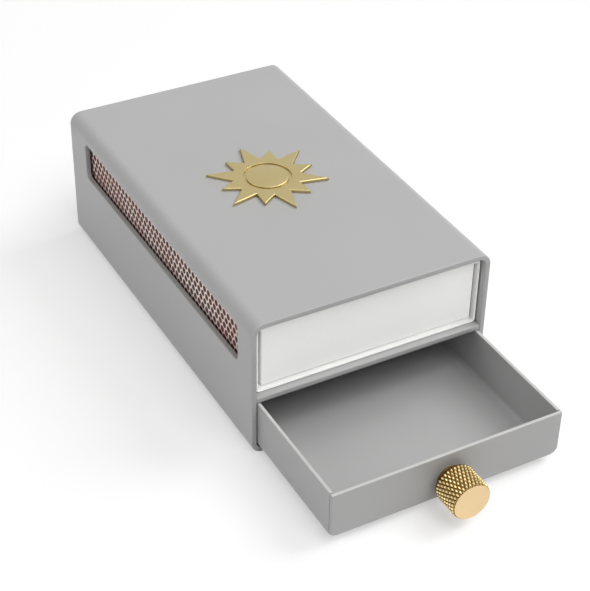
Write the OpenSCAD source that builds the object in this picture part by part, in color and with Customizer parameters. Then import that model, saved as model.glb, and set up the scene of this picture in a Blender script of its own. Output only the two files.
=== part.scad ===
// Metal matchbox: a folded sheet case with two bays. The upper bay holds a household
// matchbox, whose striking strip shows through a long window in the left wall. The lower
// bay holds a shallow folded drawer with a knurled brass knob. All sizes are millimetres.
// The origin is at the middle of the underside of the case, +Z is up and the front is at -Y.

/* [Matchbox] */
// Width of the household matchbox that the case is made for
matchbox_w = 66; // [54:0.5:80]
// Length of the matchbox
matchbox_l = 113; // [94:0.5:138]
// Height of the matchbox
matchbox_h = 20; // [16.5:0.5:26]
// Thickness of the card of the matchbox sleeve
sleeve_card = 0.6; // [0.4:0.05:0.8]
// Outer radius of the folded edges of the sleeve
sleeve_fold_r = 1; // [0.9:0.05:1.4]
// Thickness of the card of the inner tray
tray_card = 0.5; // [0.4:0.05:0.8]
// Free play of the tray on each side of the sleeve
tray_play = 0.9; // [0.3:0.05:1.2]
// How far the tray has moved to the right, as a share of that play
tray_shift = 0.55; // [-0.6:0.05:0.6]
// Gap between the rim of the tray and the roof of the sleeve
tray_top_play = 0.4; // [0.2:0.05:1]
// How far each end of the tray lies inside the sleeve
tray_recess = 1.2; // [0.5:0.1:3]
// Thickness of the striking coat
striker_t = 0.15; // [0.1:0.05:0.3]
// Margin from each end of the strip to the end of the sleeve
striker_margin = 1.5; // [0.5:0.5:4]
// Margin from the strip to the top and the bottom of the sleeve
striker_edge = 2; // [1.4:0.1:4]

/* [Case] */
// Thickness of the coated sheet of the case
sheet = 1.5; // [1.1:0.1:1.8]
// Outer radius of the four long bends
bend_r = 3.4; // [2.2:0.1:4]
// Gap between the matchbox and the case on each side
side_play = 0.5; // [0.4:0.05:1.5]
// Gap between the matchbox and the roof of the case
top_play = 1.4; // [0.2:0.05:2.5]
// Gap between the matchbox and the back panel
back_play = 0.6; // [0.3:0.1:3]
// How far the matchbox stands back from the front edge of the case
matchbox_recess = 1.9; // [0:0.1:4]
// How far the matchbox has slid to the right of the middle of its bay
matchbox_shift = 0.2; // [-0.3:0.05:0.3]
// Clear height of the drawer bay
drawer_bay_h = 15; // [12:0.1:20]

/* [Window] */
// Height of the window
window_h = 11.6; // [10:0.1:13]
// Distance from the top of the case down to the window
window_drop = 4.4; // [3.6:0.1:6]
// Distance from the front edge of the case to the window
window_front = 7.9; // [5:0.1:20]
// Distance from the back edge of the case to the window
window_back = 10.9; // [6:0.1:20]
// Corner radius of the window
window_r = 1.8; // [0.5:0.1:4]

/* [Drawer] */
// Thickness of the coated sheet of the drawer
drawer_sheet = 0.9; // [0.7:0.05:1.2]
// Outer radius of the bends round the drawer floor
drawer_bend_r = 2.2; // [1.8:0.1:3]
// Gap between the drawer and the case on each side
drawer_side_play = 0.2; // [0.15:0.05:0.6]
// Gap between the rim of the drawer and the shelf
drawer_top_play = 0.2; // [0.2:0.05:1]
// Gap between the closed drawer and the back panel
drawer_back_play = 0.5; // [0.3:0.1:3]
// Width of the open seam where two drawer walls meet
corner_gap = 0.25; // [0.1:0.05:0.4]
// How far the drawer is pulled out as the object is drawn
drawer_out = 38; // [0:0.1:60]

/* [Knob] */
// Diameter of the knob over the crests of the knurl
knob_d = 11; // [9:0.5:12.5]
// Length of the knob
knob_l = 10.3; // [8.5:0.1:14]
// Depth of the knurl
knurl_depth = 0.45; // [0.2:0.05:0.6]
// Number of diamonds round the knob
knurl_count = 32; // [20:2:44]
// Number of rows of diamonds along the knob
knurl_rows = 7; // [6:1:12]
// Bevel round the front face of the knob
knob_bevel = 0.4; // [0.2:0.05:0.8]
// Length of the plain neck between the drawer front and the knurl
knob_neck_l = 1.8; // [0.5:0.1:2.5]
// Diameter of the neck
knob_neck_d = 7; // [5.5:0.5:7.5]
// How far the knob sits below the middle of the drawer front
knob_drop = 0.4; // [0:0.1:1]

/* [Knob screw] */
// Diameter of the screw
screw_d = 3; // [2.5:0.5:4]
// Length of the screw under its head
screw_l = 7; // [5:0.5:8]
// Diameter of the pan head
screw_head_d = 5.6; // [5:0.1:7]
// Diameter of the flat top of the pan head
screw_head_top_d = 3.9; // [3.4:0.1:4.8]
// Height of the pan head
screw_head_h = 2.1; // [1.6:0.1:3]
// Diameter of the washer
washer_d = 7; // [6:0.5:9]
// Thickness of the washer
washer_t = 0.5; // [0.3:0.1:1]

/* [Emblem] */
// Diameter over the long rays of the emblem
emblem_d = 34; // [24:1:44]
// Diameter over the short rays
emblem_short_d = 28; // [20:1:36]
// Diameter at the roots of the rays
emblem_root_d = 19; // [15:0.5:22]
// Number of rays, long and short together
emblem_rays = 12; // [8:2:24]
// Diameter of the domed disc in the middle
emblem_disc_d = 12; // [8:0.5:12]
// Thickness of the emblem
emblem_t = 0.9; // [0.5:0.1:1.5]
// How far the dome rises above the rays
emblem_dome = 0.5; // [0.2:0.1:1]
// Thickness of the adhesive film under the emblem
film_t = 0.1; // [0.05:0.05:0.3]

/* [Matches] */
// Side of a square match stick
stick_w = 2; // [1.6:0.1:2.4]
// Free length between the matches and the side walls of the tray
match_play = 4; // [1:0.5:12]
// Thickness of the paste over the corners of the stick
head_coat = 0.14; // [0.1:0.02:0.4]
// Length of the straight part of a match head
head_body = 1.7; // [0.6:0.1:3]
// Number of layers of matches in the tray
match_layers = 2; // [1:1:3]

/* [Hidden] */
$fn = 64;
// Running gap under the drawer and under the matchbox
slide_lift = 0.1;
// Extra length by which a cut passes through a face
through = 1;
// Radial clearance of the screw in the knob
thread_play = 0.02;
// Radial clearance of the screw in sheet and washer
screw_play = 0.15;

// The case is sized round the matchbox and the drawer bay
case_w = matchbox_w + 2 * (side_play + sheet);
case_l = matchbox_recess + matchbox_l + back_play + sheet;
shelf_z = sheet + drawer_bay_h;
matchbox_z = shelf_z + sheet + slide_lift;
case_h = matchbox_z + matchbox_h + top_play + sheet;
front_y = -case_l / 2;
back_y = case_l / 2;
bay_w = case_w - 2 * sheet;
bay_bend_r = bend_r - sheet;
window_l = case_l - window_front - window_back;

// The matchbox in its bay
matchbox_y = front_y + matchbox_recess + matchbox_l / 2;
sleeve_in_w = matchbox_w - 2 * sleeve_card;
sleeve_in_h = matchbox_h - 2 * sleeve_card;
sleeve_in_r = sleeve_fold_r - sleeve_card;
tray_w = sleeve_in_w - 2 * tray_play;
tray_x = matchbox_shift + tray_shift * tray_play;
tray_l = matchbox_l - 2 * tray_recess;
tray_z = matchbox_z + sleeve_card + slide_lift;
tray_h = sleeve_in_h - slide_lift - tray_top_play;
tray_end_t = 2 * tray_card;
striker_h = matchbox_h - 2 * striker_edge;

// The drawer, drawn where it stands when it is pulled out by drawer_out
drawer_w = bay_w - 2 * drawer_side_play;
drawer_l = case_l - sheet - drawer_back_play;
drawer_z = sheet + slide_lift;
drawer_h = drawer_bay_h - slide_lift - drawer_top_play;
drawer_y = front_y - drawer_out + drawer_l / 2;
drawer_front_y = front_y - drawer_out;

// The knob stands on the drawer front
knob_z = drawer_z + drawer_h / 2 - knob_drop;
knob_r = knob_d / 2;
knob_root_r = knob_r - knurl_depth;
knurl_base = 0.3;
barrel_l = knob_l - knob_neck_l;
knurl_top = barrel_l - knob_bevel;
knurl_pitch = (knurl_top - knurl_base) / knurl_rows;
bevel_foot_r = knob_r - knurl_depth / 3;
bore_reserve = 1;
knob_bore_depth = screw_l - drawer_sheet - washer_t + bore_reserve;
cross_w = 0.8;
cross_l = 3.2;
cross_depth = 1.2;

// The matches lie side by side across the tray, heads to the right
match_l = tray_w - 2 * tray_card - match_play;
head_d = sqrt(2) * stick_w + 2 * head_coat;
head_l = head_d + head_body;
head_tip = 0.4 * head_d;
stick_l = match_l - head_tip;
match_gap = 0.3;
layer_gap = 0.05;
match_pitch = head_d + match_gap;
match_count = floor((tray_l - 2 * tray_end_t) / match_pitch);
layer_pitch = head_d + layer_gap;

// A centred rectangle with four round corners
module round_rect(w, h, r) {
    square([w - 2 * r, h], center = true);
    square([w, h - 2 * r], center = true);
    for (sx = [-1, 1], sy = [-1, 1])
        translate([sx * (w / 2 - r), sy * (h / 2 - r)])
            circle(r);
}

// An upright section that stands on the X axis with its two lower corners round
module round_foot(w, h, r) {
    translate([r - w / 2, 0])
        square([w - 2 * r, h]);
    translate([-w / 2, r])
        square([w, h - r]);
    for (s = [-1, 1])
        translate([s * (w / 2 - r), r])
            circle(r);
}

// Carries a section drawn in X and Z along Y
module along_y(length) {
    rotate([90, 0, 0])
        linear_extrude(height = length, center = true)
            children();
}

// Carries a section drawn in Y and Z along X
module along_x(length) {
    rotate([90, 0, 90])
        linear_extrude(height = length, center = true)
            children();
}

// A tube of sheet or card folded round a rectangle
module folded_tube(w, h, length, wall, r) {
    along_y(length)
        difference() {
            round_rect(w, h, r);
            round_rect(w - 2 * wall, h - 2 * wall, r - wall);
        }
}

// A block whose floor edges are bent up on all four sides
module bent_block(w, length, h, r) {
    intersection() {
        along_y(length) round_foot(w, h, r);
        along_x(w) round_foot(length, h, r);
    }
}

// The case: one sheet folded into a tube, with the long window in its left wall
module case_shell() {
    window_y = (window_front - window_back) / 2;
    window_z = case_h - window_drop - window_h / 2;
    color("#B4B4B4")
        difference() {
            translate([0, 0, case_h / 2])
                folded_tube(case_w, case_h, case_l, sheet, bend_r);
            translate([-case_w / 2, window_y, window_z])
                along_x(2 * (sheet + through / 2))
                    round_rect(window_l, window_h, window_r);
        }
}

// The shelf between the two bays, welded to the walls and the back panel
module shelf() {
    color("#A8A8A8")
        translate([-bay_w / 2, front_y, shelf_z])
            cube([bay_w, case_l - sheet, sheet]);
}

// The back panel, let into the rear end of the tube
module back_panel() {
    color("#A0A0A0")
        translate([0, back_y - sheet / 2, case_h / 2])
            along_y(sheet)
                round_rect(bay_w, case_h - 2 * sheet, bay_bend_r);
}

// The outline of a sun: long and short pointed rays in turn round a circle of roots
function sun_outline(inset) = [
    for (i = [0 : 2 * emblem_rays - 1])
        let (long = i % 4 == 0,
             tip = i % 2 == 0,
             d = tip ? (long ? emblem_d : emblem_short_d) : emblem_root_d,
             a = 90 + i * 180 / emblem_rays)
        (d / 2 - inset) * [cos(a), sin(a)]
];

// The emblem: a flat sunburst with a domed disc in a round groove
module emblem() {
    groove_w = 0.8;
    groove_depth = emblem_t / 2;
    disc_r = emblem_disc_d / 2;
    dome_r = (disc_r * disc_r + emblem_dome * emblem_dome) / (2 * emblem_dome);
    color("#BBAA76")
        translate([0, 0, case_h + film_t]) {
            difference() {
                linear_extrude(height = emblem_t)
                    polygon(sun_outline(0));
                translate([0, 0, emblem_t - groove_depth])
                    difference() {
                        cylinder(h = groove_depth + through, r = disc_r + groove_w);
                        translate([0, 0, -through])
                            cylinder(h = groove_depth + 3 * through, r = disc_r);
                    }
            }
            intersection() {
                translate([0, 0, emblem_t + emblem_dome - dome_r])
                    sphere(dome_r, $fn = 200);
                translate([0, 0, emblem_t])
                    cylinder(h = emblem_dome + through, r = disc_r);
            }
        }
}

// The film that bonds the emblem to the case, a little smaller than the emblem
module emblem_film() {
    film_inset = 0.5;
    color("#8C8C84")
        translate([0, 0, case_h])
            linear_extrude(height = film_t)
                polygon(sun_outline(film_inset));
}

// The drawer: one sheet bent up on four sides, with an open seam at each corner
module drawer_tray() {
    in_w = drawer_w - 2 * drawer_sheet;
    in_l = drawer_l - 2 * drawer_sheet;
    color("#A6A6A6")
        difference() {
            translate([0, drawer_y, drawer_z])
                difference() {
                    bent_block(drawer_w, drawer_l, drawer_h, drawer_bend_r);
                    translate([0, 0, drawer_sheet])
                        bent_block(in_w, in_l, drawer_h, drawer_bend_r - drawer_sheet);
                    for (sx = [-1, 1], sy = [-1, 1])
                        translate([sx * drawer_w / 2,
                                   sy * (in_l / 2 - corner_gap / 2),
                                   drawer_bend_r + drawer_h / 2])
                            cube([2 * drawer_sheet, corner_gap, drawer_h], center = true);
                }
            translate([0, drawer_front_y, knob_z])
                rotate([90, 0, 0])
                    cylinder(h = 4 * drawer_sheet, d = screw_d + 2 * screw_play, center = true);
        }
}

// Height of a ring of the barrel above its foot: base, knurl rows, then the two bevel rings
function ring_z(k) =
    k == 0 ? 0
    : k <= knurl_rows ? knurl_base + (k - 0.5) * knurl_pitch
    : k == knurl_rows + 1 ? knurl_top
    : barrel_l;

// Radius at step i of ring k: crests and grooves take turns along and round the knob
function ring_r(k, i) =
    k == 0 ? knob_root_r
    : k <= knurl_rows ? ((i + k) % 2 == 0 ? knob_r : knob_root_r)
    : k == knurl_rows + 1 ? bevel_foot_r
    : knob_r - knob_bevel;

// The knurled barrel of the knob, one mesh of small pyramids between crossing grooves
module knurled_body() {
    steps = 2 * knurl_count;
    rings = knurl_rows + 3;
    points = [
        for (k = [0 : rings - 1], i = [0 : steps - 1])
            let (a = i * 360 / steps)
            [ring_r(k, i) * cos(a), ring_r(k, i) * sin(a), ring_z(k)]
    ];
    skin = [
        for (k = [0 : rings - 2], i = [0 : steps - 1])
            let (p = k * steps + i,
                 q = k * steps + (i + 1) % steps,
                 crest = (i + k) % 2 == 0)
            each (crest
                ? [[p, p + steps, q], [q, p + steps, q + steps]]
                : [[p, q + steps, q], [p, p + steps, q + steps]])
    ];
    seat = [[for (i = [0 : steps - 1]) i]];
    face = [[for (i = [0 : steps - 1]) rings * steps - 1 - i]];
    polyhedron(points = points, faces = concat(skin, seat, face));
}

// Turns an upright turned piece so that its top points forward from the drawer front
module on_drawer_front() {
    translate([0, drawer_front_y, knob_z])
        rotate([90, 0, 0])
            children();
}

// The knob, with the hole that takes its screw
module knob() {
    color("#C9A75A")
        on_drawer_front()
            difference() {
                union() {
                    translate([0, 0, knob_neck_l])
                        knurled_body();
                    cylinder(h = knob_neck_l + knurl_base, d = knob_neck_d);
                }
                translate([0, 0, -through])
                    cylinder(h = knob_bore_depth + through, d = screw_d + 2 * thread_play);
            }
}

// The pan head screw that holds the knob from inside the drawer
module knob_screw() {
    head_z = -drawer_sheet - washer_t;
    color("#B9BCC0")
        on_drawer_front()
            difference() {
                union() {
                    translate([0, 0, head_z])
                        cylinder(h = screw_l, d = screw_d);
                    translate([0, 0, head_z - screw_head_h])
                        cylinder(h = screw_head_h, d1 = screw_head_top_d, d2 = screw_head_d);
                }
                for (turn = [0, 90])
                    rotate([0, 0, turn])
                        translate([-cross_l / 2, -cross_w / 2, head_z - screw_head_h - through])
                            cube([cross_l, cross_w, cross_depth + through]);
            }
}

// The washer between the screw head and the drawer front
module knob_washer() {
    color("#C4C6CA")
        on_drawer_front()
            translate([0, 0, -drawer_sheet - washer_t])
                difference() {
                    cylinder(h = washer_t, d = washer_d);
                    translate([0, 0, -through])
                        cylinder(h = washer_t + 2 * through, d = screw_d + 2 * screw_play);
                }
}

// The card sleeve of the matchbox
module matchbox_sleeve() {
    color("#F6F6F4")
        translate([matchbox_shift, matchbox_y, matchbox_z + matchbox_h / 2])
            folded_tube(matchbox_w, matchbox_h, matchbox_l, sleeve_card, sleeve_fold_r);
}

// A striking strip on one long side of the sleeve
module striker(side) {
    color("#4A3230")
        translate([matchbox_shift + side * (matchbox_w + striker_t) / 2,
                   matchbox_y,
                   matchbox_z + matchbox_h / 2])
            cube([striker_t, matchbox_l - 2 * striker_margin, striker_h], center = true);
}

module striker_left() {
    striker(-1);
}

module striker_right() {
    striker(1);
}

// The card tray that slides in the sleeve, with doubled end walls
module matchbox_tray() {
    color("#FAFAF8")
        translate([tray_x, matchbox_y, tray_z])
            difference() {
                translate([-tray_w / 2, -tray_l / 2, 0])
                    cube([tray_w, tray_l, tray_h]);
                translate([tray_card - tray_w / 2, tray_end_t - tray_l / 2, tray_card])
                    cube([tray_w - 2 * tray_card, tray_l - 2 * tray_end_t, tray_h]);
            }
}

// Puts a copy of its child at the middle of every match in the tray
module each_match() {
    for (layer = [0 : match_layers - 1], i = [0 : match_count - 1])
        translate([tray_x,
                   matchbox_y + (i - (match_count - 1) / 2) * match_pitch,
                   tray_z + tray_card + head_d / 2 + layer * layer_pitch])
            children();
}

// The stick of one match, centred on the length of the match
module stick() {
    translate([-match_l / 2, -stick_w / 2, -stick_w / 2])
        cube([stick_l, stick_w, stick_w]);
}

// The head of one match: a round-ended dip of striking paste over the end of the stick
module head() {
    round_r = head_d / 2;
    difference() {
        translate([match_l / 2 - head_l / 2, 0, 0])
            rotate([0, 90, 0])
                rotate_extrude($fn = 24)
                    intersection() {
                        translate([0, -head_l / 2])
                            square([round_r, head_l]);
                        union() {
                            square([head_d, head_l - head_d], center = true);
                            for (s = [-1, 1])
                                translate([0, s * (head_l / 2 - round_r)])
                                    circle(round_r, $fn = 24);
                        }
                    }
        stick();
    }
}

module match_sticks() {
    color("#E3C999")
        each_match() stick();
}

module match_heads() {
    color("#7A2A22")
        each_match() head();
}

case_shell();
shelf();
back_panel();
emblem();
emblem_film();
drawer_tray();
knob();
knob_screw();
knob_washer();
matchbox_sleeve();
striker_left();
striker_right();
matchbox_tray();
match_sticks();
match_heads();
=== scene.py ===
# %% [markdown]
# # A metal matchbox
#
# The object is a folded steel case, coated in satin grey, that holds a household matchbox over
# a shallow drawer with a knurled brass knob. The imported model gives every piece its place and
# size. This lesson gives the pieces their looks: the soft bends and edges of sheet metal, a
# powder coat, printed striking paste, knurled brass and white card.

# %% Load the frame
import math

import bmesh
import bpy
import numpy as np
from mathutils import Euler, Matrix, Vector


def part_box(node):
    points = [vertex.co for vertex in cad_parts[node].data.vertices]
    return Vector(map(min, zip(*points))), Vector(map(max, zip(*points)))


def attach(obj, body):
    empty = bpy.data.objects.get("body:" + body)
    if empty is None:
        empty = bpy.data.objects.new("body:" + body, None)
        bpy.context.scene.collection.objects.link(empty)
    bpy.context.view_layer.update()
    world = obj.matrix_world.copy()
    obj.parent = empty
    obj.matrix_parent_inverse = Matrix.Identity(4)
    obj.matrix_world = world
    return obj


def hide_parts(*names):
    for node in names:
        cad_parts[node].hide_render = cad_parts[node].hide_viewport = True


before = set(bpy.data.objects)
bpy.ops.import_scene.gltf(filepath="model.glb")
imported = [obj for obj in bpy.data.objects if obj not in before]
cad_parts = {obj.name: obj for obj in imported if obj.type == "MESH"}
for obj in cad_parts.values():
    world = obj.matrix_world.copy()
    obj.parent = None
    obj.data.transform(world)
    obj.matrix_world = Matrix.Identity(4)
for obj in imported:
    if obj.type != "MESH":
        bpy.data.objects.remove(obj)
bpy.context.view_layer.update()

MM = 0.001

# %% [markdown]
# ## The camera
#
# The photograph was taken from the front left, looking down by 36 degrees. A camera can be
# placed by eye, but here it was solved from the straight edges of the case, so its place, 47 cm
# from the origin, and its angles are measured values. The lens is long, so the edges converge
# only a little.

# %% Place the camera
CAMERA_PLACE = Vector((-175.7, -332.8, 275.8)) * MM
CAMERA_AZIMUTH = math.radians(29.08)
CAMERA_DOWN = math.radians(36.12)
CAMERA_ROLL = math.radians(1.06)
CAMERA_LENS = 97.45

camera = bpy.data.objects.new("camera", bpy.data.cameras.new("camera"))
camera.data.lens = CAMERA_LENS
camera.data.clip_start = 10 * MM
camera.data.clip_end = 20.0
aim = Euler((math.pi / 2 - CAMERA_DOWN, 0, -CAMERA_AZIMUTH)).to_matrix()
aim = aim @ Matrix.Rotation(CAMERA_ROLL, 3, "Z")
camera.matrix_world = Matrix.Translation(CAMERA_PLACE) @ aim.to_4x4()
bpy.context.scene.collection.objects.link(camera)
bpy.context.scene.camera = camera
print("Camera at", [round(v / MM, 1) for v in CAMERA_PLACE], "mm")

# %% [markdown]
# ## Sizes
#
# What the frame knows is read from it: a box of two corners for each node. What a box can't
# tell, such as the radius of a bend or the place of the window, is named here once, in real
# millimetres, and every surface below is worked out from these values.

# %% Read the sizes
def span(node):
    """The low corner, the high corner, the middle and the size of a node's box, as arrays."""
    low, high = (np.array(corner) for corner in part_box(node))
    return low, high, (low + high) / 2, high - low


case_low, case_high, _, case_size = span("case_shell")
shelf_low, shelf_high, _, shelf_size = span("shelf")
SHEET = shelf_size[2]
CASE_BEND = 3.4 * MM
WINDOW_FRONT, WINDOW_BACK, WINDOW_DROP = 7.9 * MM, 10.9 * MM, 4.4 * MM
WINDOW_LENGTH = case_size[1] - WINDOW_FRONT - WINDOW_BACK
WINDOW_HEIGHT = 11.6 * MM
WINDOW_ROUND = 1.8 * MM
WINDOW_MID = np.array([(WINDOW_FRONT - WINDOW_BACK) / 2,
                       case_high[2] - WINDOW_DROP - WINDOW_HEIGHT / 2])
DRAWER_SHEET = 0.9 * MM
DRAWER_BEND = 2.2 * MM
DRAWER_FOOT = 2.4 * MM
CORNER_GAP = 0.25 * MM
SLEEVE_CARD = 0.6 * MM
SLEEVE_FOLD = 1.0 * MM
SLEEVE_EDGE = 0.27 * MM
TRAY_CARD = 0.5 * MM
print("Case", np.round(case_size / MM, 1), "mm, sheet", round(SHEET / MM, 2), "mm")

# %% [markdown]
# ## Helpers for surfaces
#
# Sheet metal and card have no sharp edges: the coat softens a cut edge, and card is crushed a
# little where it is cut. That thin round is what catches the light, so a piece here is a grid
# of points with a small round along its edges. A flat face also gets a row of points a short
# way in from the round. That row holds the smooth shading, so the flat stays flat and only the
# round turns.

# %% Outlines, grids and meshes
HOLD = 0.3 * MM


def round_outline(width, height, radius, steps, hold=HOLD):
    """Points and outward normals of a rectangle with round corners, counter-clockwise, (n, 2).

    Each corner is a quarter circle: its centre plus the radius times (cos a, sin a), with a
    over 90 degrees in equal steps. Each side adds two points, one hold from its corners."""
    quarter = np.linspace(0, math.pi / 2, steps + 1)
    centres = np.array([[1, 1], [-1, 1], [-1, -1], [1, -1]])
    centres = centres * (np.array([width, height]) / 2 - radius)
    points, normals = [], []
    for corner in range(4):
        turn = quarter + corner * math.pi / 2
        normal = np.stack([np.cos(turn), np.sin(turn)], -1)
        arc = centres[corner] + radius * normal
        start = centres[(corner + 1) % 4] + radius * normal[-1]
        run = start - arc[-1]
        step = run / np.linalg.norm(run) * min(hold, np.linalg.norm(run) / 3)
        points += [arc, [arc[-1] + step], [start - step]]
        normals += [normal, [normal[-1]], [normal[-1]]]
    return np.concatenate(points), np.concatenate(normals)


def cut_edge(thick, edge, steps, hold):
    """The cut edge of a sheet, from one face to the other: how far each point is set back from
    the end of the sheet, and its depth. At each face these follow a quarter circle of the edge
    radius, edge times (1 - sin a) and (1 - cos a), after one point that lies hold further in."""
    turn = np.linspace(0, math.pi / 2, steps + 1)
    back = edge * (1 - np.sin(turn))
    depth = edge * (1 - np.cos(turn))
    back = np.concatenate([[edge + hold], back, back[::-1], [edge + hold]])
    return back, np.concatenate([[0], depth, thick - depth[::-1], [thick]])


def full_turn(count):
    """Angles in equal steps once round a circle."""
    return np.arange(count) * 2 * math.pi / count


def grid_faces(rows, columns, closed=True):
    """Quads of a grid of points numbered row by row, (n, 4). A row runs on from its last point
    to its first, and so do the rows where the grid is closed."""
    row = np.arange(rows if closed else rows - 1)
    row, column = np.meshgrid(row, np.arange(columns), indexing="ij")
    next_row, next_column = (row + 1) % rows, (column + 1) % columns
    corners = [row * columns + column, next_row * columns + column,
               next_row * columns + next_column, row * columns + next_column]
    return np.stack(corners, -1).reshape(-1, 4)


def carried(path, normals, along, across):
    """A section carried round a closed path in X and Z. Point (i, j) stands at path point i
    plus its normal times across j, and at along j on the Y axis."""
    flat = path[:, None, :] + normals[:, None, :] * across[None, :, None]
    y = np.broadcast_to(along[None, :], flat.shape[:2])
    return np.stack([flat[..., 0], y, flat[..., 1]], -1)


SMOOTH_ANGLE = math.radians(50)
WELD = 0.001 * MM


def make_piece(name, points, faces, materials, slots=None):
    """Makes an object from points and faces, welds its doubles, turns its faces outwards and
    shades it smooth except over sharp corners."""
    mesh = bpy.data.meshes.new(name)
    mesh.from_pydata(np.asarray(points).reshape(-1, 3).tolist(), [], [list(f) for f in faces])
    for material in materials:
        mesh.materials.append(material)
    if slots is not None:
        mesh.polygons.foreach_set("material_index", np.asarray(slots, np.int32))
    shell = bmesh.new()
    shell.from_mesh(mesh)
    bmesh.ops.remove_doubles(shell, verts=shell.verts, dist=WELD)
    bmesh.ops.recalc_face_normals(shell, faces=shell.faces)
    shell.to_mesh(mesh)
    shell.free()
    mesh.shade_smooth()
    mesh.set_sharp_from_angle(angle=SMOOTH_ANGLE)
    piece = bpy.data.objects.new(name, mesh)
    bpy.context.scene.collection.objects.link(piece)
    print(name, len(mesh.vertices), "points,", len(mesh.polygons), "faces")
    return piece


def take_place(piece, body, slot, *nodes):
    """Lets a piece ride on its body and stand for its nodes. The slot is not used."""
    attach(piece, body)
    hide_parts(*nodes)


# %% [markdown]
# ## Helpers for materials
#
# Colours are written as they look on a screen, in sRGB hex, and Blender's shaders want linear
# light, so one function turns the one into the other. Another adds a node, with its settings by
# name and its inputs as values or links, so that a material reads like a recipe. Nearly every
# recipe ends alike: a pattern shifts the colour, the gloss or the relief of the surface.

# %% Colours and nodes
MIX_FACTOR, MIX_A, MIX_B, MIX_RESULT = 0, 6, 7, 2


def linear(hex_colour, times=1.0):
    """Turns a colour such as "#B2B2B2" into linear red, green, blue and alpha. Times is a
    factor for its light, or three factors for red, green and blue."""
    channels = np.array([int(hex_colour[i:i + 2], 16) / 255 for i in (1, 3, 5)])
    low, high = channels / 12.92, ((channels + 0.055) / 1.055) ** 2.4
    return (*(np.where(channels <= 0.04045, low, high) * times).tolist(), 1.0)


def add(tree, kind, inputs=None, **settings):
    """Adds a node. Settings are set by name, and each input is given a value or a link."""
    node = tree.nodes.new("ShaderNode" + kind)
    for name, value in settings.items():
        setattr(node, name, value)
    for name, value in (inputs or {}).items():
        if isinstance(value, bpy.types.NodeSocket):
            tree.links.new(value, node.inputs[name])
        else:
            node.inputs[name].default_value = value
    return node


def new_material(name, **values):
    """A material with its Principled shader, whose sockets are set by their names."""
    material = bpy.data.materials.new(name)
    material.use_nodes = True
    shader = material.node_tree.nodes["Principled BSDF"]
    for socket, value in values.items():
        shader.inputs[socket.replace("_", " ")].default_value = value
    return material, material.node_tree, shader


def show_pattern(tree, shader, value, tones=None, rough=None, relief=None):
    """Lets the value of a pattern shape a surface: it runs from the first tone to the second
    and from the first roughness to the second, and stands out as a bump, which is given by its
    strength and its height in millimetres."""
    if tones:
        tone = add(tree, "Mix", {MIX_FACTOR: value, MIX_A: tones[0], MIX_B: tones[1]},
                   data_type="RGBA")
        tree.links.new(tone.outputs[MIX_RESULT], shader.inputs["Base Color"])
    if rough:
        gloss = add(tree, "MapRange", {"Value": value, "To Min": rough[0], "To Max": rough[1]})
        tree.links.new(gloss.outputs["Result"], shader.inputs["Roughness"])
    if relief:
        bump = add(tree, "Bump", {"Height": value, "Strength": relief[0],
                                  "Distance": relief[1] * MM})
        tree.links.new(bump.outputs["Normal"], shader.inputs["Normal"])


def per_mm(size_mm):
    """The scale of a pattern whose features are so many millimetres apart."""
    return 1 / (size_mm * MM)


# %% [markdown]
# ## Powder coat
#
# The case and the drawer are sheet steel under a satin powder coat: dry paint sprayed on with
# a charge and baked until it flows. Baked paint keeps a faint orange peel, half a millimetre
# from crest to crest, which only breaks up the gloss. The colour is even, with a slight drift
# where the coat is thicker. In the photograph the drawer's cut rim is paler than its walls, so
# the drawer's coat is painted pale close to its top, as a painted highlight along the rim.
# Paint isn't metal to the eye, so metallic stays at 0.

# %% Make the coats
CASE_GREY = "#B6B6B6"
DRAWER_GREY = "#B2B2B2"
RIM_HIGHLIGHT_GREY = "#CDCDCB"
PEEL_MM = 0.55
DRIFT_MM = 30
DRIFT_DARK, DRIFT_LIGHT = 0.965, 1.03
PALE_FROM, PALE_TO = 0.25 * MM, 0.05 * MM


def powder_coat(name, grey, rim=None):
    """Satin paint: an even grey, a faint drift of tone, and orange peel as bump. With the
    height of a rim, it turns pale just below it, a painted highlight along the cut edge."""
    material, tree, shader = new_material(name, Roughness=0.42)
    place = add(tree, "TexCoord").outputs["Object"]
    drift = add(tree, "TexNoise", {"Vector": place, "Scale": per_mm(DRIFT_MM), "Detail": 2.0})
    tone = add(tree, "Mix", {MIX_FACTOR: drift.outputs["Fac"],
                             MIX_A: linear(grey, DRIFT_DARK),
                             MIX_B: linear(grey, DRIFT_LIGHT)}, data_type="RGBA")
    if rim:
        # Painted highlight: just below the drawer's top the grey turns to the pale rim grey.
        high = add(tree, "SeparateXYZ", {0: place}).outputs["Z"]
        edge = add(tree, "MapRange", {"Value": high, "From Min": rim - PALE_FROM,
                                      "From Max": rim - PALE_TO})
        tone = add(tree, "Mix", {MIX_FACTOR: edge.outputs["Result"],
                                 MIX_A: tone.outputs[MIX_RESULT], MIX_B: linear(RIM_HIGHLIGHT_GREY)},
                   data_type="RGBA")
    tree.links.new(tone.outputs[MIX_RESULT], shader.inputs["Base Color"])
    peel = add(tree, "TexNoise", {"Vector": place, "Scale": per_mm(PEEL_MM), "Detail": 1.0})
    show_pattern(tree, shader, peel.outputs["Fac"], relief=(0.12, 0.03))
    return material


case_coat = powder_coat("powder_coat_case", CASE_GREY)
drawer_coat = powder_coat("powder_coat_drawer", DRAWER_GREY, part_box("drawer_tray")[1][2])
print("Coats", case_coat.name, drawer_coat.name)

# %% [markdown]
# ## The case
#
# The case is one sheet folded four times into a tube. A cube with a bevel would do for its
# outside, but the wall is a real sheet with an inside and a cut edge, so its section, a long
# thin rectangle with round corners, is carried round the folded path. That closes on itself
# both ways, like a ring. The window then takes the place of one flat quad on the outside and
# one on the inside: a lip runs round the window, and flat faces join it to the quad's corners.

# %% The folded tube
EDGE = 0.25 * MM
EDGE_STEPS = 4
BEND_STEPS = 12


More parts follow.
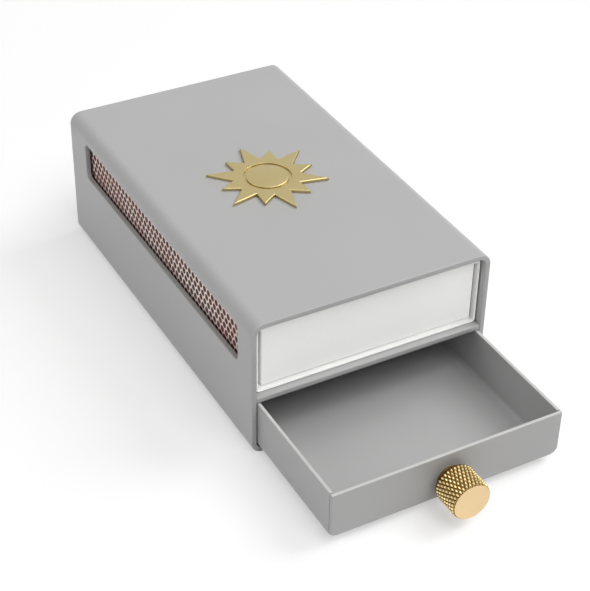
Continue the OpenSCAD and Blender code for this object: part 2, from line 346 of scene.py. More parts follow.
def folded_tube(low, high, wall, bend, edge, bend_steps):
    """A tube of sheet between two corners. The middle of the wall follows a rectangle with
    round corners, and the wall's section is carried round it."""
    size, middle = high - low, (low + high) / 2
    path, normals = round_outline(size[0] - wall, size[2] - wall, bend - wall / 2, bend_steps)
    section, _ = round_outline(size[1], wall, edge, EDGE_STEPS)
    points = carried(path + middle[[0, 2]], normals, section[:, 0] + middle[1], section[:, 1])
    return points, grid_faces(*points.shape[:2])


def window_lip(steps):
    """The lip of the window: its outline carried through the wall, and set back from the
    opening as a cut edge is."""
    out, depth = cut_edge(SHEET, EDGE, EDGE_STEPS, HOLD / 2)
    outline, normals = round_outline(WINDOW_LENGTH, WINDOW_HEIGHT, WINDOW_ROUND, steps)
    flat = WINDOW_MID + outline[None] + normals[None] * out[:, None, None]
    x = np.broadcast_to(case_low[0] + depth[:, None], flat.shape[:2])
    return np.concatenate([x[..., None], flat], -1)


def wall_round_window(first, corners, steps):
    """Flat faces from a ring of points to the four corners of the wall round it: a fan of
    triangles at each round corner, and one flat face along each side. A corner has steps + 1
    points, and the side after it two more."""
    faces, block = [], steps + 3
    for corner in range(4):
        start = first + corner * block
        faces += [[corners[corner], start + k, start + k + 1] for k in range(steps)]
        after = first + (corner + 1) % 4 * block
        side = [start + steps, start + steps + 1, start + steps + 2, after]
        faces.append([corners[corner]] + side + [corners[(corner + 1) % 4]])
    return faces


tube, tube_faces = folded_tube(case_low, case_high, SHEET, CASE_BEND, EDGE, BEND_STEPS)
columns = tube.shape[1]
left_row = BEND_STEPS + 3 + BEND_STEPS + 1
outer_column = EDGE_STEPS + 1
inner_column = 2 * (EDGE_STEPS + 3) + EDGE_STEPS + 1
kept = np.ones(len(tube_faces), bool)
kept[[left_row * columns + outer_column, left_row * columns + inner_column]] = False
print("Window cut out of", len(tube_faces) - kept.sum(), "quads")

# %% The window's lip and the case
WINDOW_STEPS = 8
lip = window_lip(WINDOW_STEPS)
first = tube.shape[0] * columns
lip_faces = grid_faces(*lip.shape[:2], closed=False) + first
last_ring = first + (lip.shape[0] - 1) * lip.shape[1]


def quad_corners(row, column):
    """The corners of a quad of the left wall in the order of an outline seen along +X: front
    is -Y, and the outline starts at the high Y, high Z corner."""
    near, far = sorted([row * columns + column, row * columns + column + 1],
                       key=lambda index: -tube.reshape(-1, 3)[index][1])
    return [near, far, far + columns, near + columns]


outer_wall = wall_round_window(first, quad_corners(left_row, outer_column), WINDOW_STEPS)
inner_wall = wall_round_window(last_ring, quad_corners(left_row, inner_column), WINDOW_STEPS)
case_points = np.concatenate([tube.reshape(-1, 3), lip.reshape(-1, 3)])
case_faces = [*tube_faces[kept], *lip_faces, *outer_wall, *inner_wall]
case_piece = make_piece("folded_case", case_points, case_faces, [case_coat])
take_place(case_piece, "case", "case_coat", "case_shell")

# %% [markdown]
# ## The shelf and the back panel
#
# Both are flat blanks of the same sheet, welded inside the tube. A blank is its outline with
# round corners, stacked in layers: each layer is drawn in a little where the edge is round.

# %% Flat blanks
SHELF_CORNER = 0.4 * MM
LEAST_ROUND = 0.02 * MM
CORNER_STEPS = 6


def blank(low, high, corner, edge, steps, across):
    """A flat plate with cut edges, as layers of its outline, (layers, n, 3). Across is the
    axis of the thickness."""
    inset, height = cut_edge((high - low)[across], edge, steps, HOLD)
    plan = [axis for axis in range(3) if axis != across]
    size, middle = (high - low)[plan], ((low + high) / 2)[plan]
    layers = [round_outline(*(size - 2 * d), max(corner - d, LEAST_ROUND), CORNER_STEPS)[0]
              for d in inset]
    points = np.empty((len(inset), len(layers[0]), 3))
    points[..., plan] = np.stack(layers) + middle
    points[..., across] = low[across] + height[:, None]
    return points


def capped(points):
    """The faces of stacked closed layers, with the first and the last layer closed."""
    rows, columns = points.shape[:2]
    sides = grid_faces(rows, columns, closed=False)
    return [*sides, np.arange(columns), np.arange(columns) + (rows - 1) * columns]


shelf_points = blank(shelf_low, shelf_high, SHELF_CORNER, EDGE, EDGE_STEPS, across=2)
shelf_piece = make_piece("shelf_blank", shelf_points, capped(shelf_points), [case_coat])
take_place(shelf_piece, "case", "case_coat", "shelf")

back_low, back_high, _, _ = span("back_panel")
back_points = blank(back_low, back_high, CASE_BEND - SHEET, EDGE, EDGE_STEPS, across=1)
back_piece = make_piece("back_blank", back_points, capped(back_points), [case_coat])
take_place(back_piece, "case", "case_coat", "back_panel")

# %% [markdown]
# ## The drawer
#
# The drawer is one thinner sheet bent up on four sides. Seen in section it is a tray profile:
# up the outer wall, over the rim, down the inner wall and across the floor. Carried round a
# rectangle, that profile meets itself in a mitre at each corner, as bent sheet does. Behind
# the front panel and before the back one the side walls are cut free, and the thin open seam
# between the sheets shows as a dark line. Below that seam the lower corners are rounded off,
# as they are in the photograph.

# %% A pan bent from sheet
TIGHT = 0.01 * MM
RIM = 0.2 * MM
DRAWER_CORNER = 0.3 * MM
FOLD_STEPS = 6
PAN_STEPS = 4


def pan_loop(half, radius, steps, marks):
    """One closed loop of a pan, counter-clockwise, (n, 2): a rectangle of half sizes with
    round corners. Marks are distances from the middle at which each side gets points. They
    keep clear of the corners, so that loops drawn in towards the floor stay in order."""
    quarter = np.linspace(0, math.pi / 2, steps + 1)
    signs = np.array([[1, 1], [-1, 1], [-1, -1], [1, -1]])
    loop = []
    for corner in range(4):
        turn = quarter + corner * math.pi / 2
        centre = signs[corner] * (half - radius)
        loop.append(centre + radius * np.stack([np.cos(turn), np.sin(turn)], -1))
        axis = corner % 2
        limit = half[axis] - radius - TIGHT * (1 + np.arange(len(marks[axis])))
        stops = np.minimum(marks[axis], limit)
        side = np.empty((2 * len(stops), 2))
        side[:, 1 - axis] = signs[corner][1 - axis] * half[1 - axis]
        side[:, axis] = signs[corner][axis] * np.concatenate([stops, -stops[::-1]])
        loop.append(side)
    return np.concatenate(loop)


def pan(low, high, wall, bend, edge, corner, marks, seam_height, foot=0.0):
    """A pan bent from sheet, (rows, n, 3), and the two rows between which a seam is cut.

    The section runs from the middle of the underside outwards. The bend is a quarter circle
    from flat to upright, the rim half a turn of the edge radius, and the inside is the same
    way back, drawn in by the wall, which may differ for the sides and the ends. Below the seam
    the outside corner grows rounder, up to the foot radius more at the underside."""
    size, middle = high - low, (low + high) / 2
    turn = np.linspace(0, math.pi / 2, FOLD_STEPS + 1)
    small = np.linspace(0, math.pi / 2, EDGE_STEPS + 1)
    height, floor = size[2], wall.min()
    inner = bend - floor
    outside = [(bend + HOLD, 0), *zip(bend * (1 - np.sin(turn)), bend * (1 - np.cos(turn))),
               (0, bend + HOLD), (0, seam_height), (0, height - edge - HOLD),
               *zip(edge * (1 - np.cos(small)), height - edge * (1 - np.sin(small)))]
    inside = [*zip(-edge * (1 - np.sin(small)), height - edge * (1 - np.cos(small))),
              (0, height - edge - HOLD), (0, seam_height), (0, floor + inner + HOLD),
              *zip(inner * (1 - np.cos(turn)), floor + inner * (1 - np.sin(turn))),
              (inner + HOLD, floor)]
    rows = [(np.full(2, d), z, max(corner - d, 0) + foot * max(1 - z / seam_height, 0))
            for d, z in outside]
    rows += [(wall + d, z, 0.0) for d, z in inside]
    loops = []
    for inset, z, radius in rows:
        radius = max(radius, 2 * TIGHT)
        loop = pan_loop(size[:2] / 2 - inset, radius, PAN_STEPS, marks)
        loops.append(np.column_stack([loop + middle[:2], np.full(len(loop), low[2] + z)]))
    cut_from = 2 + len(turn)
    cut_to = len(outside) + len(small) + 1
    return np.stack(loops), cut_from, cut_to


print("Rim round", RIM / MM, "mm")

# %% Cut the seams
def cut_seams(points, cut_from, cut_to, seams):
    """The faces of a pan with an open seam at each of the given columns: the quads between
    two columns are left out over the wall, and the cut is closed at its sides and its foot."""
    rows, columns = points.shape[:2]
    faces = grid_faces(rows, columns, closed=False)
    row, column = faces[:, 0] // columns, faces[:, 0] % columns
    gone = np.isin(column, seams) & (row >= cut_from) & (row < cut_to)
    cut = np.arange(cut_from, cut_to + 1) * columns
    sides = [cut + column + end for column in seams for end in (0, 1)]
    feet = [[cut[0] + c, cut[0] + c + 1, cut[-1] + c + 1, cut[-1] + c] for c in seams]
    caps = [np.arange(columns), np.arange(columns) + (rows - 1) * columns]
    return [*faces[~gone], *sides, *feet, *caps]


drawer_low, drawer_high, _, drawer_size = span("drawer_tray")
seam_far = drawer_size[1] / 2 - DRAWER_SHEET
side_marks = np.array([seam_far, seam_far - CORNER_GAP, seam_far - CORNER_GAP - HOLD])
end_marks = np.array([drawer_size[0] / 2 - DRAWER_BEND - HOLD])
seam_height = DRAWER_BEND + 2 * HOLD
drawer_points, seam_low, seam_high = pan(
    drawer_low, drawer_high, np.full(2, DRAWER_SHEET), DRAWER_BEND, RIM, DRAWER_CORNER,
    (end_marks, side_marks), seam_height, foot=DRAWER_FOOT)
print("Seams from", round(seam_height / MM, 2), "mm up to the rim")

# %% Fold the drawer
# A loop runs corner, rear, corner, left side, corner, front, corner, right side.
corner_points = PAN_STEPS + 1
end_block, side_block = (corner_points + 2 * len(m) for m in (end_marks, side_marks))
seams = [start + corner_points + end for start in (end_block, 2 * end_block + side_block)
         for end in (0, 2 * len(side_marks) - 2)]
drawer_faces = cut_seams(drawer_points, seam_low, seam_high, seams)
drawer_piece = make_piece("folded_drawer", drawer_points, drawer_faces, [drawer_coat])
take_place(drawer_piece, "drawer", "drawer_coat", "drawer_tray")

# %% [markdown]
# ## Brass
#
# The knob is turned from brass bar and then knurled: two wheels press crossing grooves into
# it. Brass is a metal, so its colour is the colour of its reflections. The grooves are dull
# and dark, partly from the tarnish they hold and partly as painted shade, since they see
# little but brass, and the crests are rubbed bright. A value called groove is stored at each
# point of the mesh, 0 on a crest and 1 at the bottom of a groove, and the material turns it
# into colour and roughness. The knob's face was only turned on a lathe, and it is paler. The
# rings that the tool leaves are finer on a real knob. Here they stand 1 mm apart, so that they
# show.

# %% Make the brass
BRASS_BRIGHT = "#F0D89C"
BRASS_TARNISH_AND_SHADE = "#68481A"
FACE_BRASS = "#E8CC9E"
# A ring is one whole turn of the wave, with 0.16 mm to a radian.
RING_MM = 0.16 * 2 * math.pi
WAVE_RADIANS = 20


def knurled_brass():
    """Brass whose grooves are darker and duller than its crests."""
    material, tree, shader = new_material("brass_knurled", Metallic=1.0)
    groove = add(tree, "Attribute", attribute_name="groove").outputs["Fac"]
    # Tarnish and painted shade: the deeper in a groove, the darker the brass.
    ramp = add(tree, "MapRange", {"Value": groove, "From Min": 0.08, "From Max": 0.9})
    show_pattern(tree, shader, ramp.outputs["Result"],
                 tones=(linear(BRASS_BRIGHT), linear(BRASS_TARNISH_AND_SHADE)))
    show_pattern(tree, shader, groove, rough=(0.2, 0.45))
    return material


def turned_brass(centre):
    """Brass with the rings that a lathe tool leaves round the middle of a face. The wave
    texture runs through 20 radians in one unit of its scaled place."""
    material, tree, shader = new_material("brass_turned", Metallic=1.0,
                                          Base_Color=linear(FACE_BRASS))
    place = add(tree, "TexCoord").outputs["Object"]
    centred = add(tree, "Mapping", {"Vector": place, "Location": tuple(-centre)})
    rings = add(tree, "TexWave", {"Vector": centred.outputs["Vector"],
                                  "Scale": per_mm(RING_MM) * 2 * math.pi / WAVE_RADIANS,
                                  "Distortion": 0.6},
                wave_type="RINGS", rings_direction="Y")
    show_pattern(tree, shader, rings.outputs["Fac"], rough=(0.3, 0.36), relief=(0.06, 0.01))
    return material


_, knob_high, knob_mid, knob_size = span("knob")
brass_knurled = knurled_brass()
brass_turned = turned_brass(knob_mid)
print("Brass", brass_knurled.name, brass_turned.name)

# %% [markdown]
# ## The knob
#
# A knurl could be a bump map, but the outline of the knob would stay smooth, and up close the
# diamonds are what makes it. Here the radius itself is worked out over the angle round the
# knob and the distance along it, fine enough for twelve points across a diamond. A short plain
# neck holds the barrel off the drawer. Little light gets in there, so it gets painted shade:
# it counts as part of the way down a groove and is a darker brass.

# %% The knurled surface
KNURL_COUNT = 32
KNURL_ROWS = 7
KNURL_DEPTH = 0.45 * MM
KNURL_START = 0.3 * MM
KNOB_BEVEL = 0.4 * MM
KNOB_NECK, NECK_RADIUS = 1.8 * MM, 3.5 * MM
NECK_SHADE = 0.7
STEP_UP = 0.02 * MM
POINTS_A_DIAMOND = 12
knob_radius, barrel_length = knob_size[0] / 2, knob_size[1] - KNOB_NECK


def knurl_radius(theta, s):
    """Radius of the barrel at angle theta and distance s from its foot.

    Round the knob p counts diamonds and along it q counts them. A groove runs where p + q or
    p - q is halfway between whole numbers, so the lower of two zigzags, each 1 at a whole
    number and 0 halfway, is the height of the pyramid. Its tip is cut off flat."""
    pitch = (barrel_length - KNOB_BEVEL - KNURL_START) / KNURL_ROWS
    p = KNURL_COUNT * theta / (2 * math.pi)
    q = (s - KNURL_START) / (2 * pitch) + 0.25
    zigzags = [1 - 2 * np.abs(x - np.round(x)) for x in (p + q, p - q)]
    height = np.clip(1.3 * np.minimum(*zigzags), 0, 1)
    radius = knob_radius - KNURL_DEPTH * (1 - height)
    radius = np.where(s < KNURL_START, knob_radius - KNURL_DEPTH, radius)
    bevel = knob_radius - np.maximum(s - (barrel_length - KNOB_BEVEL), 0)
    return np.minimum(radius, bevel)


def turned(theta, radius, s, centre):
    """Points of a turned piece whose axis points to the front: s runs along -Y from the
    seat, and the radius stands round it in X and Z."""
    return np.stack([centre[0] + radius * np.cos(theta), centre[1] - s,
                     centre[2] + radius * np.sin(theta)], -1)


around = full_turn(KNURL_COUNT * POINTS_A_DIAMOND)
steps_along = KNURL_ROWS * POINTS_A_DIAMOND // 2
knurled = np.linspace(KNURL_START - STEP_UP, barrel_length, steps_along)
stations = np.concatenate([[0, KNOB_NECK, KNOB_NECK], KNOB_NECK + knurled])
theta, s = np.meshgrid(around, stations)
radius = knurl_radius(theta, s - KNOB_NECK)
radius[:2] = NECK_RADIUS
face_insets = np.array([[0.05], [0.25]]) * MM
theta = np.concatenate([theta, theta[:2]])
s = np.concatenate([s, np.full((2, len(around)), knob_size[1])])
radius = np.concatenate([radius, radius[-1] - face_insets])
seat = np.array([knob_mid[0], knob_high[1], knob_mid[2]])
knob_points = turned(theta, radius, s, seat)
knob_faces = capped(knob_points)
face_rows = 2 * len(around)
knob_slots = np.zeros(len(knob_faces), np.int32)
knob_slots[-2 - face_rows:-2] = 1
knob_slots[-1] = 1
knob_piece = make_piece("knurled_knob", knob_points, knob_faces,
                        [brass_knurled, brass_turned], knob_slots)
take_place(knob_piece, "drawer", "knob_brass", "knob")

# %% Mark the grooves
points = np.empty(len(knob_piece.data.vertices) * 3, np.float32)
knob_piece.data.vertices.foreach_get("co", points)
points = points.reshape(-1, 3) - seat
radius = np.hypot(points[:, 0], points[:, 2])
depth = (knob_radius - radius) / KNURL_DEPTH
# Painted shade on the neck: a fixed groove value makes its brass darker.
depth = np.where(radius < NECK_RADIUS + 0.1 * MM, NECK_SHADE, depth)
groove = knob_piece.data.attributes.new("groove", "FLOAT", "POINT")
groove.data.foreach_set("value", np.clip(depth, 0, 1).astype(np.float32))
print("Groove values up to", round(float(depth.clip(0, 1).max()), 2))

# %% [markdown]
# ## The screw and the washer
#
# The knob is held by a pan head screw from inside the drawer, over a plain washer. Both are
# zinc plated steel: a bright metal with a faint blue cast and a fine, uneven crystal gloss.

# %% Zinc plate and turned parts
SCREW_RADIUS, SCREW_LENGTH = 1.5 * MM, 7 * MM
HEAD_RADIUS, HEAD_HEIGHT = 2.8 * MM, 2.1 * MM
CROSS_WIDTH, CROSS_LENGTH, CROSS_DEPTH = 0.8 * MM, 3.4 * MM, 1.1 * MM
CROSS_SLOPE = 0.25 * MM
ZINC = "#C9CCD1"
GRAIN_MM = 0.4
_, washer_high, washer_mid, washer_size = span("knob_washer")


def zinc_plate():
    """Bright zinc: nearly white metal whose gloss changes a little from grain to grain."""
    material, tree, shader = new_material("zinc_plated_steel", Metallic=1.0,
                                          Base_Color=linear(ZINC))
    place = add(tree, "TexCoord").outputs["Object"]
    grain = add(tree, "TexVoronoi", {"Vector": place, "Scale": per_mm(GRAIN_MM)})
    show_pattern(tree, shader, grain.outputs["Distance"], rough=(0.24, 0.42))
    return material


def screw_surface(columns=96):
    """The screw as one turned surface: up the shank, out under the head, over the head.

    The head's height is a superellipse of the third power. The cross is a product of two
    soft steps along and across each arm, taken off the height."""
    spread = np.linspace(0, 1, 30)[::-1]
    radius = np.concatenate([np.array([0.05, 1, 1]) * SCREW_RADIUS, [HEAD_RADIUS * 0.98],
                             HEAD_RADIUS * spread[:-1], [0.02 * MM]])
    dome = HEAD_HEIGHT * (1 - spread ** 3) ** (1 / 3)
    back = np.concatenate([[-SCREW_LENGTH, -SCREW_LENGTH, 0, 0], dome[:-1], [HEAD_HEIGHT]])
    theta, radius = np.meshgrid(full_turn(columns), radius)
    back = np.repeat(back[:, None], columns, 1)
    x, z = radius * np.cos(theta), radius * np.sin(theta)

    def soft(v):
        return np.clip(0.5 + v / CROSS_SLOPE, 0, 1)

    arms = [soft(CROSS_LENGTH / 2 - np.abs(a)) * soft(CROSS_WIDTH / 2 - np.abs(b))
            for a, b in ((x, z), (z, x))]
    back = back - np.where(back > 0, CROSS_DEPTH * np.maximum(*arms), 0)
    middle = np.array([washer_mid[0], washer_high[1], washer_mid[2]])
    return turned(theta, radius, -back, middle)


def washer_surface(columns=64):
    """The washer: a small rectangle with round corners carried round the screw's axis."""
    hole = SCREW_RADIUS + 0.15 * MM
    width = washer_size[0] / 2 - hole
    section, _ = round_outline(width, washer_size[1], 0.08 * MM, 3, hold=0.1 * MM)
    theta, along = np.meshgrid(full_turn(columns), section[:, 1])
    radius = np.repeat(section[:, :1] + hole + width / 2, columns, 1)
    return turned(theta, radius, along, washer_mid)


zinc = zinc_plate()
screw_points = screw_surface()
screw_piece = make_piece("pan_head_screw", screw_points, capped(screw_points), [zinc])
take_place(screw_piece, "drawer", "plated_steel", "knob_screw")
washer_points = washer_surface()
washer_piece = make_piece("plain_washer", washer_points, grid_faces(*washer_points.shape[:2]),
                          [zinc])
take_place(washer_piece, "drawer", "plated_steel", "knob_washer")

# %% [markdown]
# ## The emblem
#
# A gold plated sunburst is bonded to the top of the case. Its plate is flat, so the eye reads
# it by its edges: a soft round runs along every ray and lights up where it faces the lamp. The
# surface is worked out in polar form. Within each half ray the edge is a straight line, and
# the height falls off with the distance to that line.

# %% The sunburst
RAYS = 12
SHORT_RADIUS = 14 * MM
ROOT_RADIUS = 9.5 * MM
DISC_RADIUS = 6 * MM
GROOVE_WIDTH, GROOVE_DEPTH = 0.8 * MM, 0.45 * MM
DOME = 0.5 * MM
EMBLEM_EDGE = 0.4 * MM
LIP = 0.12 * MM
emblem_low, _, emblem_mid, emblem_size = span("emblem")
PLATE = emblem_size[2] - DOME


def ray_edges(theta):
    """For each angle, the radius at which the outline is met, and the cosine between that
    direction and the edge's normal. Corners of the outline stand at equal angles, and the
    outline from corner to corner is a straight line."""
    gap = math.pi / RAYS
    corner = np.floor((theta - math.pi / 2) / gap + 1e-6)
    reach = np.array([emblem_size[1] / 2, ROOT_RADIUS, SHORT_RADIUS, ROOT_RADIUS])
    ends = []
    for step in (0, 1):
        turn = math.pi / 2 + (corner + step) * gap
        length = reach[(corner + step).astype(int) % 4]
        ends.append(np.stack([length * np.cos(turn), length * np.sin(turn)], -1))
    edge = ends[1] - ends[0]
    edge = edge / np.linalg.norm(edge, axis=-1, keepdims=True)
    across = edge[..., 0] * np.sin(theta) - edge[..., 1] * np.cos(theta)
    offset = edge[..., 0] * ends[0][..., 1] - edge[..., 1] * ends[0][..., 0]
    return offset / across, np.abs(across)


def disc_profile():
    """Radii and heights from the middle outwards: a dome, a round shoulder, a groove with
    round lips and the flat of the plate."""
    dome_radius = np.linspace(0.2 * MM, DISC_RADIUS - 0.15 * MM, 14)
    dome = PLATE + DOME * (1 - (dome_radius / DISC_RADIUS) ** 2)
    turn = np.linspace(0, math.pi / 2, 4)
    inner = DISC_RADIUS - LIP + LIP * np.sin(turn)
    outer = DISC_RADIUS + GROOVE_WIDTH + LIP - LIP * np.sin(turn[::-1])
    drop = LIP * (1 - np.cos(turn))
    floor = PLATE - GROOVE_DEPTH
    radii = np.concatenate([dome_radius, inner, [DISC_RADIUS, DISC_RADIUS + GROOVE_WIDTH],
                            outer, [outer[-1] + 0.25 * MM]])
    heights = np.concatenate([dome, PLATE - drop, [floor, floor], PLATE - drop[::-1], [PLATE]])
    return radii, heights


def sunburst(columns_a_ray=10):
    """The emblem as rings from its middle to its outline and down its edge. Near the outline
    the height is a quarter circle of the distance to the edge."""
    columns = 2 * RAYS * columns_a_ray
    theta = math.pi / 2 + full_turn(columns)
    outline, across = ray_edges(theta)
    radii, heights = disc_profile()
    rings = [(np.full(columns, r), z) for r, z in zip(radii, heights)]
    turn = np.linspace(0, math.pi / 2, 6)
    flat_end = outline - (EMBLEM_EDGE + 0.1 * MM) / across
    flat_end = np.maximum(flat_end, radii[-1] + 0.1 * MM)
    rings += [(radii[-1] + (flat_end - radii[-1]) * share, PLATE) for share in (0.5, 1.0)]
    rings += [(np.maximum(outline - EMBLEM_EDGE * (1 - math.sin(a)) / across, flat_end),
               PLATE - EMBLEM_EDGE * (1 - math.cos(a))) for a in turn]
    rings.append((outline, 0.0))
    points = [np.column_stack([emblem_mid[0] + r * np.cos(theta),
                               emblem_mid[1] + r * np.sin(theta),
                               np.full(columns, emblem_low[2] + z)]) for r, z in rings]
    return np.stack(points)


print("Emblem", np.round(emblem_size / MM, 1), "mm")

# %% Gold plate
GOLD, PALER = "#B9A978", (1.05, 1.05, 1.1)
CLOUD_MM = 6


def gold_plate():
    """Satin gold plate over a polished blank: soft, even gloss, a little cloudy."""
    material, tree, shader = new_material("gold_plate_satin", Metallic=1.0)
    place = add(tree, "TexCoord").outputs["Object"]
    cloud = add(tree, "TexNoise", {"Vector": place, "Scale": per_mm(CLOUD_MM), "Detail": 3.0})
    show_pattern(tree, shader, cloud.outputs["Fac"],
                 tones=(linear(GOLD), linear(GOLD, PALER)), rough=(0.3, 0.4))
    return material


emblem_points = sunburst()
emblem_piece = make_piece("sunburst_emblem", emblem_points, capped(emblem_points),
                          [gold_plate()])
take_place(emblem_piece, "case", "emblem_gold", "emblem")

# %% [markdown]
# ## The film under the emblem
#
# The thin film that bonds the emblem to the coat only shows as a dark line under its edge. Its
# dark brown is painted shadow, standing for the contact shadow there. The imported node has
# the right shape, so it stays and only gets a material.

# %% Bond film
# Painted shadow: this dark brown stands for the contact shadow under the emblem's edge.
FILM_SHADOW_BROWN = "#6B6558"
film, _, _ = new_material("bond_film_painted_shadow", Base_Color=linear(FILM_SHADOW_BROWN), Roughness=0.5)
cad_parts["emblem_film"].data.materials.clear()
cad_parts["emblem_film"].data.materials.append(film)
print("Film", film.name)

# %% [markdown]
# ## The matchbox
#
# The household matchbox is smooth white card: a sleeve folded like the case, and a tray bent
# like the drawer whose end walls are doubled. Coated card is nearly white, matt, and has a
# very faint cloud of fibres. The sleeve is cut by a die that pushes its edges round, so its
# front rim shows as a soft pale frame.

# %% White card
CARD_WHITE, FIBRE_SHADE = "#F4F4F2", (0.97, 0.97, 0.965)
FIBRE_MM = 0.8


def white_card():
    """Coated white card: matt, with fibre clouds too faint to read as a pattern."""
    material, tree, shader = new_material("coated_white_card", Roughness=0.62)
    place = add(tree, "TexCoord").outputs["Object"]
    fibre = add(tree, "TexNoise", {"Vector": place, "Scale": per_mm(FIBRE_MM), "Detail": 4.0})
    show_pattern(tree, shader, fibre.outputs["Fac"], relief=(0.1, 0.02),
                 tones=(linear(CARD_WHITE, FIBRE_SHADE), linear(CARD_WHITE)))
    return material


SLEEVE_STEPS = 8
card = white_card()
sleeve_low, sleeve_high, _, _ = span("matchbox_sleeve")
sleeve_points, sleeve_faces = folded_tube(sleeve_low, sleeve_high, SLEEVE_CARD, SLEEVE_FOLD,
                                          SLEEVE_EDGE, SLEEVE_STEPS)
sleeve_piece = make_piece("card_sleeve", sleeve_points, sleeve_faces, [card])
take_place(sleeve_piece, "matchbox", "white_card", "matchbox_sleeve")

# %% The card tray
TRAY_FOLD, TRAY_EDGE, TRAY_CORNER = 0.7 * MM, 0.15 * MM, 0.5 * MM
# The tray has no open seams. Its marks and its waist only give its walls more points.
TRAY_MARK, TRAY_WAIST = 10 * MM, 4 * MM
tray_low, tray_high, _, _ = span("matchbox_tray")
tray_points, _, _ = pan(tray_low, tray_high, np.array([TRAY_CARD, 2 * TRAY_CARD]), TRAY_FOLD,
                        TRAY_EDGE, TRAY_CORNER, [np.array([TRAY_MARK])] * 2, TRAY_WAIST)
tray_piece = make_piece("card_tray", tray_points, capped(tray_points), [card])
take_place(tray_piece, "tray", "white_card", "matchbox_tray")

# %% [markdown]
# ## The striking strips
#
# The strip is striking paste, ground glass and red phosphorus in a brown binder, printed in a
# honeycomb of dots so that the card can flex and the match head finds an edge. The pale lines
# between the dots are the primed card. The dots are real reliefs, a tenth of a millimetre high.

# %% Paste and primer
PASTE_DARK, PASTE_LIGHT = "#24110D", "#683A30"
PRIMER_CREAM, DUST_PINK = "#FFF2EA", "#EEC4BC"
DUST_MM = 12
GRIT_MM = 0.16


def striking_paste():
    """Dry paste: dark brown, matt and gritty, with grains of a sixth of a millimetre."""
    material, tree, shader = new_material("striking_paste", Roughness=0.8)
    place = add(tree, "TexCoord").outputs["Object"]
    grit = add(tree, "TexNoise", {"Vector": place, "Scale": per_mm(GRIT_MM), "Detail": 2.0})
    show_pattern(tree, shader, grit.outputs["Fac"], relief=(0.4, 0.05),
                 tones=(linear(PASTE_DARK), linear(PASTE_LIGHT)))
    return material


def primed_card():
    """Cream primer with clouds of pink dust, which the match heads leave on a used strip."""
    material, tree, shader = new_material("primed_card", Roughness=0.7)
    place = add(tree, "TexCoord").outputs["Object"]
    cloud = add(tree, "TexNoise", {"Vector": place, "Scale": per_mm(DUST_MM), "Detail": 3.0})
    dust = add(tree, "MapRange", {"Value": cloud.outputs["Fac"], "From Min": 0.4,
                                  "From Max": 0.7})
    show_pattern(tree, shader, dust.outputs["Result"],
                 tones=(linear(PRIMER_CREAM), linear(DUST_PINK)))
    return material


primer = primed_card()
paste = striking_paste()
print("Strip materials", primer.name, paste.name)

# %% The honeycomb of dots
DOT_PITCH, ROW_PITCH = 2.29 * MM, 1.98 * MM
DOT_WIDE, DOT_TALL = 1.74 * MM, 1.84 * MM
DOT_SIDES = 12
PRIMER = 0.05 * MM
STRIP_CORNER, STRIP_EDGE = 0.3 * MM, 0.02 * MM


def honeycomb(length, height):
    """Middles of the dots, (n, 2). Rows are one row pitch apart, and every other row is moved
    by half a dot pitch. Dots that would cross the margin are left out."""
    rows = np.arange(int(height / ROW_PITCH) + 1)
    along = np.arange(-int(length / DOT_PITCH), int(length / DOT_PITCH) + 1) * DOT_PITCH
    z = (rows - rows.mean()) * ROW_PITCH
    y = along[None] + (rows[:, None] % 2) * DOT_PITCH / 2
    middles = np.stack(np.broadcast_arrays(y, z[:, None]), -1).reshape(-1, 2)
    inside = (np.abs(middles[:, 0]) < (length - DOT_WIDE) / 2)
    return middles[inside & (np.abs(middles[:, 1]) < (height - DOT_TALL) / 2 + 1e-6)]


def dot_rings():
    """One dot as three rings, (3, sides, 3) in (out, y, z): an oval whose radius swells six
    times round by 4 percent towards a hexagon, rising from the primer to a flat top."""
    turn = full_turn(DOT_SIDES)
    swell = 1 + 0.04 * np.cos(6 * (turn + math.pi / 6))
    oval = np.stack([np.cos(turn) * DOT_WIDE / 2, np.sin(turn) * DOT_TALL / 2], -1)
    rings = []
    for share, out in ((1.0, 0.0), (0.97, 0.7), (0.86, 1.0)):
        flat = oval * swell[:, None] * share
        rings.append(np.column_stack([np.full(DOT_SIDES, out), flat]))
    return np.stack(rings)


def striking_strip(name, node, side):
    """A strip on one side of the sleeve: a thin slab of primer, and the dots on it."""
    low, high, middle, size = span(node)
    inner = low[0] if side > 0 else high[0]
    slab_low, slab_high = low.copy(), high.copy()
    slab_low[0], slab_high[0] = sorted([inner, inner + side * PRIMER])
    slab = blank(slab_low, slab_high, STRIP_CORNER, STRIP_EDGE, 2, across=0)
    faces = [list(face) for face in capped(slab)]
    slots = [0] * len(faces)
    middles = honeycomb(size[1], size[2])
    rings = dot_rings()
    dots = np.empty((len(middles), *rings.shape))
    dots[..., 0] = inner + side * (0.8 * PRIMER + rings[None, ..., 0] * (size[0] - PRIMER))
    dots[..., 1:] = middles[:, None, None] + rings[None, ..., 1:] + middle[1:]
    one = capped(rings)[:-2] + [np.arange(DOT_SIDES) + 2 * DOT_SIDES, np.arange(DOT_SIDES)]
    first = slab.shape[0] * slab.shape[1]
    for dot in range(len(middles)):
        faces += [list(face + first + dot * rings.shape[0] * DOT_SIDES) for face in one]
    slots += [1] * (len(faces) - len(slots))
    points = np.concatenate([slab.reshape(-1, 3), dots.reshape(-1, 3)])
    piece = make_piece(name, points, faces, [primer, paste], slots)
    take_place(piece, "matchbox", "striking_coat", node)


striking_strip("striking_strip_left", "striker_left", -1)
striking_strip("striking_strip_right", "striker_right", 1)

# %% [markdown]
# ## The matches
#
# Two layers of matches lie across the tray, heads to the right. A match is a square stick of
# aspen, cut and not planed, with a dipped head. No two lie quite alike, so each is rolled a
# little about its length, shifted along it, and its head is a little fuller or thinner.

# %% Wood and head paste
ASPEN_DARK, ASPEN_PALE = "#D3B27C", "#F0DDB4"
ASPEN_GRAIN_MM, ASPEN_STRETCH = 0.5, 0.06
HEAD_DARK, HEAD_RED = "#5E1A15", "#9A362B"
PITS_MM = 0.35


